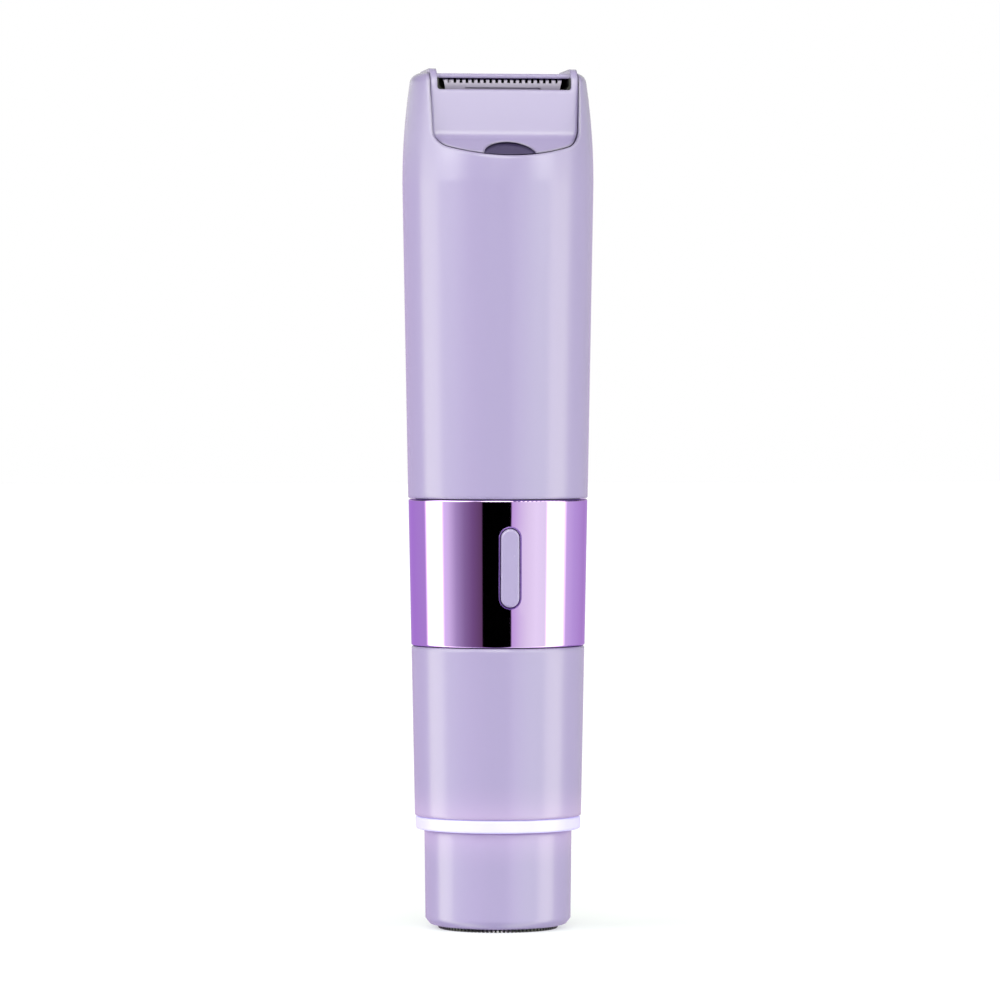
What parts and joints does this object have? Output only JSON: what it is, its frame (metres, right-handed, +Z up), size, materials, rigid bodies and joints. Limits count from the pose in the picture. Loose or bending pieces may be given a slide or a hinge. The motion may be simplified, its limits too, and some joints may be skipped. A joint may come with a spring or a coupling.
{
  "type": "double-ended shaver and trimmer",
  "caption": "Cordless body shaver: upright lilac handle with a toothed trimmer on top, plated waist band with capsule button, glowing ring and slotted rotary head below.",
  "frame": {"origin": "centre of the rotary head's slotted cap, on the face the part stands on", "axes": "+Z up along the handle towards the toothed trimmer; the button and trimmer window face -Y; +X to the right of someone facing the button"},
  "size_m": [0.0374, 0.0374, 0.168],
  "materials": {
    "lilac_soft": "soft-touch satin",
    "lilac_gloss": "smooth",
    "plated_purple": "electroplated mirror",
    "ring_light": "milky diffuser, lit",
    "lens_dark": "smoked, polished",
    "blade_steel": "ground",
    "cap_steel": "polished foil",
    "motor_steel": "satin",
    "screw_steel": "satin",
    "brass_part": "turned",
    "nickel": "bright",
    "white_abs": "moulded",
    "grey_abs": "moulded",
    "black_plastic": "moulded",
    "board_green": "solder mask",
    "chip_black": "moulded epoxy",
    "cell_wrap": "shrink sleeve",
    "led_white": "clear epoxy",
    "seal_rubber": "moulded",
    "pad_rubber": "moulded",
    "wire_sleeve": "extruded",
    "spring_steel": "drawn"
  },
  "bodies": {
    "handle": {"lower_bulkhead": "white_abs", "neck_seal": "seal_rubber", "light_ring": "ring_light", "ring_light_board": "board_green", "ring_leds": "led_white", "lower_shell": "lilac_soft", "shaver_motor_can": "motor_steel", "shaver_motor_cap": "black_plastic", "shaver_motor_screws": "screw_steel", "charging_board": "board_green", "charging_socket": "nickel", "core_tube": "grey_abs", "chrome_band": "plated_purple", "button_seal": "seal_rubber", "button_pad": "pad_rubber", "tactile_switch": "black_plastic", "main_board": "board_green", "board_components": "chip_black", "battery_cell": "cell_wrap", "battery_tabs": "nickel", "battery_cradle": "white_abs", "upper_shell": "lilac_soft", "motor_bracket": "white_abs", "bracket_screws": "screw_steel", "motor_screws": "screw_steel", "trimmer_motor_can": "motor_steel", "trimmer_motor_cap": "black_plastic", "latch_clips": "spring_steel", "lamp_board": "board_green", "lamp_led": "led_white", "trimmer_motor_leads": "wire_sleeve", "shaver_motor_leads": "wire_sleeve", "charging_leads": "wire_sleeve", "lamp_leads": "wire_sleeve"},
    "power_button": {"power_button": "lilac_gloss"},
    "shaver_head": {"shaver_collar": "lilac_soft", "slotted_cap": "cap_steel", "cap_retainer": "black_plastic"},
    "shaver_rotor": {"shaver_shaft": "motor_steel", "drive_coupler": "white_abs", "cutter_spring": "spring_steel"},
    "shaver_cutter": {"rotary_cutter": "blade_steel", "cutter_carrier": "grey_abs"},
    "trimmer_head": {"trimmer_housing": "lilac_soft", "window_liner": "black_plastic", "lamp_lens": "lens_dark", "fixed_comb": "blade_steel", "blade_guide": "grey_abs", "guide_screws": "screw_steel", "blade_spring": "spring_steel"},
    "trimmer_blade": {"moving_blade": "blade_steel", "blade_carrier": "white_abs"},
    "trimmer_rotor": {"trimmer_shaft": "motor_steel", "eccentric_cam": "brass_part"}
  },
  "joints": [
    {"name": "button_press", "type": "slide", "parent": "handle", "child": "power_button", "axis": [0, 1, 0], "range_m": [0, 0.0006], "stiffness_N_per_m": 2500, "deforming": ["button_pad"]},
    {"name": "shaver_head_pull", "type": "slide", "parent": "handle", "child": "shaver_head", "axis": [0, 0, -1], "range_m": [0, 0.022]},
    {"name": "shaver_spin", "type": "hinge", "parent": "handle", "child": "shaver_rotor", "pos_m": [0, 0, 0.02], "axis": [0, 0, 1], "continuous": true},
    {"name": "cutter_float", "type": "slide", "parent": "shaver_rotor", "child": "shaver_cutter", "axis": [0, 0, 1], "range_m": [0, 0.0006], "stiffness_N_per_m": 600, "deforming": ["cutter_spring"]},
    {"name": "trimmer_head_pull", "type": "slide", "parent": "handle", "child": "trimmer_head", "axis": [0, 0, 1], "range_m": [0, 0.02]},
    {"name": "blade_stroke", "type": "slide", "parent": "trimmer_head", "child": "trimmer_blade", "axis": [1, 0, 0], "range_m": [-0.0006, 0.0006]},
    {"name": "trimmer_spin", "type": "hinge", "parent": "handle", "child": "trimmer_rotor", "pos_m": [0, 0, 0.14], "axis": [0, 0, 1], "continuous": true}
  ]
}
